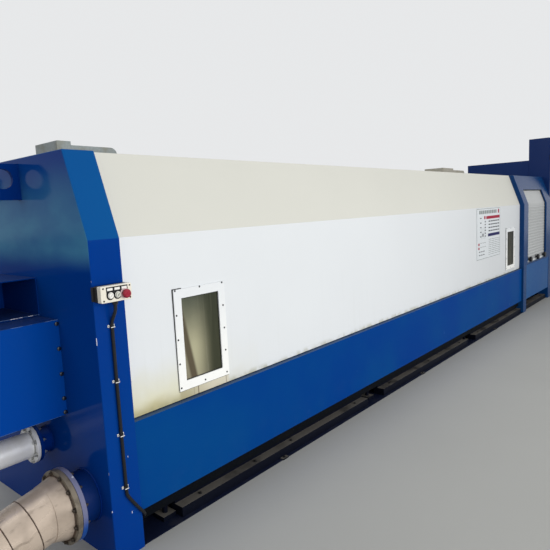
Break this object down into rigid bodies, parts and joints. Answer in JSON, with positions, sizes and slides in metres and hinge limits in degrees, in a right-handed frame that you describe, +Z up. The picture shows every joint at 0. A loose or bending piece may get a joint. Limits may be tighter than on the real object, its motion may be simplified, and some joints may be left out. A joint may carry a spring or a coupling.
{
  "type": "wire drawing machine",
  "caption": "Long wire drawing machine with a lifting hood over its capstans, entry boxes and flanged pipes at one end, a shuttered take-up housing and a cabinet at the other.",
  "frame": {"origin": "middle of the machine's plan, on the floor", "axes": "+X along the machine from the entry end to the exit end, +Y from the front to the back, +Z up"},
  "size_m": [9.2, 1.396, 2.45],
  "materials": {
    "blue_paint": "glossy blue machine paint",
    "deep_blue_paint": "very glossy deep blue machine paint",
    "flange_blue": "blue paint, chipped",
    "bright_blue_paint": "glossy bright blue machine paint",
    "navy_paint": "glossy navy paint",
    "black_steel": "black paint",
    "white_paint": "satin off-white paint, stained along the lower edge",
    "roof_paint": "satin light grey paint",
    "window_white": "white paint",
    "window_pane": "clouded pane, wetted from inside",
    "chamber_grey": "grey paint",
    "drum_steel": "ground steel",
    "die_iron": "machined iron",
    "cover_grey": "dull grey-beige sheet",
    "stainless": "brushed stainless steel",
    "pipe_paint": "beige-pink primer, scuffed",
    "sole_steel": "bare steel, dirty",
    "box_plastic": "moulded light grey plastic",
    "black_plastic": "black plastic",
    "white_plastic": "white plastic",
    "grey_plastic": "grey plastic",
    "red_plastic": "red plastic",
    "slat_metal": "light grey slats",
    "rail_white": "white rail"
  },
  "bodies": {
    "root": {"bed_frame": "black_steel", "levelling_feet": "deep_blue_paint", "sole_plates": "sole_steel", "front_skirt": "blue_paint", "rear_skirt": "blue_paint", "left_end_wall": "deep_blue_paint", "left_end_column": "blue_paint", "chamber_floor": "chamber_grey", "chamber_back_wall": "chamber_grey", "gear_case": "deep_blue_paint", "gear_case_covers": "blue_paint", "roof_panel": "roof_paint", "capstans_upper": "drum_steel", "capstans_lower": "drum_steel", "die_holders": "die_iron", "hinge_brackets": "black_steel", "hinge_pins": "drum_steel", "lift_cover_left": "cover_grey", "lift_cover_right": "cover_grey", "lifting_lugs": "deep_blue_paint", "entry_box": "deep_blue_paint", "die_box": "deep_blue_paint", "die_box_cover": "bright_blue_paint", "supply_nozzle": "deep_blue_paint", "supply_pipe": "stainless", "return_nozzle": "flange_blue", "return_pipe": "pipe_paint", "control_box_spacer": "black_plastic", "control_box": "box_plastic", "cable_conduit": "black_plastic", "conduit_clips": "white_plastic", "take_up_housing": "blue_paint", "housing_front_panel": "bright_blue_paint", "shutter_curtain": "slat_metal", "shutter_rail": "rail_white", "shutter_knobs": "black_plastic", "exit_cabinet_front": "navy_paint", "exit_cabinet_rear": "navy_paint"},
    "hood": {"hood_front_panel": "white_paint", "hood_slope_panel": "white_paint", "hood_top_panel": "white_paint", "hood_end_left": "white_paint", "hood_end_right": "white_paint", "window_frames": "window_white", "window_panes": "window_pane", "hood_hinge_arms": "black_steel", "hood_lifting_eyes": "black_steel"},
    "start_button": {"start_button": "white_plastic"},
    "jog_button": {"jog_button": "grey_plastic"},
    "stop_button": {"stop_button": "red_plastic"}
  },
  "joints": [
    {"name": "hood_lift", "type": "hinge", "parent": "root", "child": "hood", "pos_m": [0, -0.109, 1.874], "axis": [-1, 0, 0], "range_deg": [0, 75]},
    {"name": "start_press", "type": "slide", "parent": "root", "child": "start_button", "axis": [0, 1, 0], "range_m": [0, 0.004], "stiffness_N_per_m": 800},
    {"name": "jog_press", "type": "slide", "parent": "root", "child": "jog_button", "axis": [0, 1, 0], "range_m": [0, 0.004], "stiffness_N_per_m": 800},
    {"name": "stop_press", "type": "slide", "parent": "root", "child": "stop_button", "axis": [0, 1, 0], "range_m": [0, 0.005], "stiffness_N_per_m": 1000}
  ]
}
